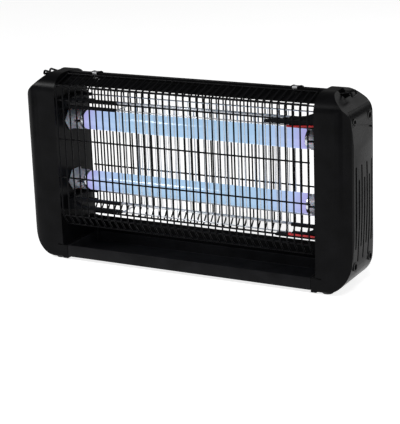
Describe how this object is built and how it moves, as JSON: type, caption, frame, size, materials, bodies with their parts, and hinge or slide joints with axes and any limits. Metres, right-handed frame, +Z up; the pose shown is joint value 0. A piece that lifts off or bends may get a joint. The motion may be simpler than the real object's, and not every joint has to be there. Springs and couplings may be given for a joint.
{
  "type": "electric bug zapper",
  "caption": "Standing or hanging electric bug zapper: ultraviolet tubes behind high-voltage wire grids, in wire guards between moulded end caps, over a pull-out catch tray.",
  "frame": {"origin": "on the standing surface, under the middle of the object", "axes": "+X along the width to the viewer's right, -Y out of the front guard, +Z up"},
  "size_m": [0.4698, 0.082, 0.2533],
  "materials": {
    "casing": "near-black satin moulding with a fine grain",
    "tray": "dark grey moulding",
    "wire": "black powder-coated wire",
    "steel": "bright zinc-plated steel",
    "cap_metal": "pressed aluminium lamp cap",
    "grid": "plain drawn steel wire",
    "glow": "phosphor-coated glass glowing pale blue",
    "milky": "translucent milky moulding",
    "insulator": "black moulding",
    "lead": "red insulated lead",
    "core": "stacked steel laminations",
    "coil": "enamelled copper winding",
    "board": "green circuit board",
    "capacitor": "blue dipped capacitor",
    "rubber": "black rubber"
  },
  "bodies": {
    "root": {"left_end_cap": "casing", "left_side_panel": "casing", "left_panel_screw_1": "steel", "left_panel_screw_2": "steel", "left_panel_screw_3": "steel", "left_panel_screw_4": "steel", "left_clip_pin": "wire", "left_front_foot": "rubber", "left_rear_foot": "rubber", "left_upper_lampholder": "milky", "left_upper_insulator": "insulator", "left_lower_lampholder": "milky", "left_lower_insulator": "insulator", "right_end_cap": "casing", "right_side_panel": "casing", "right_panel_screw_1": "steel", "right_panel_screw_2": "steel", "right_panel_screw_3": "steel", "right_panel_screw_4": "steel", "right_clip_pin": "wire", "right_front_foot": "rubber", "right_rear_foot": "rubber", "right_upper_lampholder": "milky", "right_upper_insulator": "insulator", "right_lower_lampholder": "milky", "right_lower_insulator": "insulator", "top_rail": "casing", "base_pan": "casing", "front_live_grid": "grid", "front_return_grid": "grid", "rear_guard": "wire", "rear_live_grid": "grid", "rear_return_grid": "grid", "live_link_rod": "grid", "return_link_rod": "grid", "live_lead": "lead", "return_lead": "lead", "transformer_core": "core", "transformer_coil": "coil", "circuit_board": "board", "storage_capacitor": "capacitor", "lamp_ballast": "core", "power_switch_body": "insulator", "cord_gland": "rubber"},
    "catch_tray_body": {"catch_tray": "tray"},
    "front_guard_body": {"front_guard": "wire"},
    "left_clip_body": {"left_guard_clip": "steel"},
    "right_clip_body": {"right_guard_clip": "steel"},
    "left_ring_body": {"left_hanging_ring": "casing"},
    "right_ring_body": {"right_hanging_ring": "casing"},
    "upper_lamp": {"upper_lamp_tube": "glow", "left_upper_tube_end": "cap_metal", "right_upper_tube_end": "cap_metal"},
    "lower_lamp": {"lower_lamp_tube": "glow", "left_lower_tube_end": "cap_metal", "right_lower_tube_end": "cap_metal"},
    "rocker": {"power_switch_rocker": "insulator"}
  },
  "joints": [
    {"name": "tray_slide", "type": "slide", "parent": "root", "child": "catch_tray_body", "axis": [0, -1, 0], "range_m": [0, 0.075]},
    {"name": "guard_lift_off", "type": "slide", "parent": "root", "child": "front_guard_body", "axis": [0, -1, 0], "range_m": [0, 0.06]},
    {"name": "left_clip_swing", "type": "hinge", "parent": "root", "child": "left_clip_body", "pos_m": [-0.1445, 0.0043, 0.2512], "axis": [-1, 0, 0], "range_deg": [0, 40], "stiffness_Nm_per_rad": 0.03, "springref_deg": -17.19},
    {"name": "right_clip_swing", "type": "hinge", "parent": "root", "child": "right_clip_body", "pos_m": [0.1445, 0.0043, 0.2512], "axis": [-1, 0, 0], "range_deg": [0, 40], "stiffness_Nm_per_rad": 0.03, "springref_deg": -17.19},
    {"name": "left_ring_swing", "type": "hinge", "parent": "root", "child": "left_ring_body", "pos_m": [-0.207, 0, 0.2485], "axis": [0, 1, 0], "range_deg": [0, 100]},
    {"name": "right_ring_swing", "type": "hinge", "parent": "root", "child": "right_ring_body", "pos_m": [0.207, 0, 0.2485], "axis": [0, -1, 0], "range_deg": [0, 100]},
    {"name": "upper_lamp_twist", "type": "hinge", "parent": "root", "child": "upper_lamp", "pos_m": [0, 0, 0.1875], "axis": [1, 0, 0], "range_deg": [0, 90]},
    {"name": "lower_lamp_twist", "type": "hinge", "parent": "root", "child": "lower_lamp", "pos_m": [0, 0, 0.104], "axis": [1, 0, 0], "range_deg": [0, 90]},
    {"name": "rocker_tilt", "type": "hinge", "parent": "root", "child": "rocker", "pos_m": [0.207, 0.0345, 0.092], "axis": [1, 0, 0], "range_deg": [0, 16]}
  ]
}
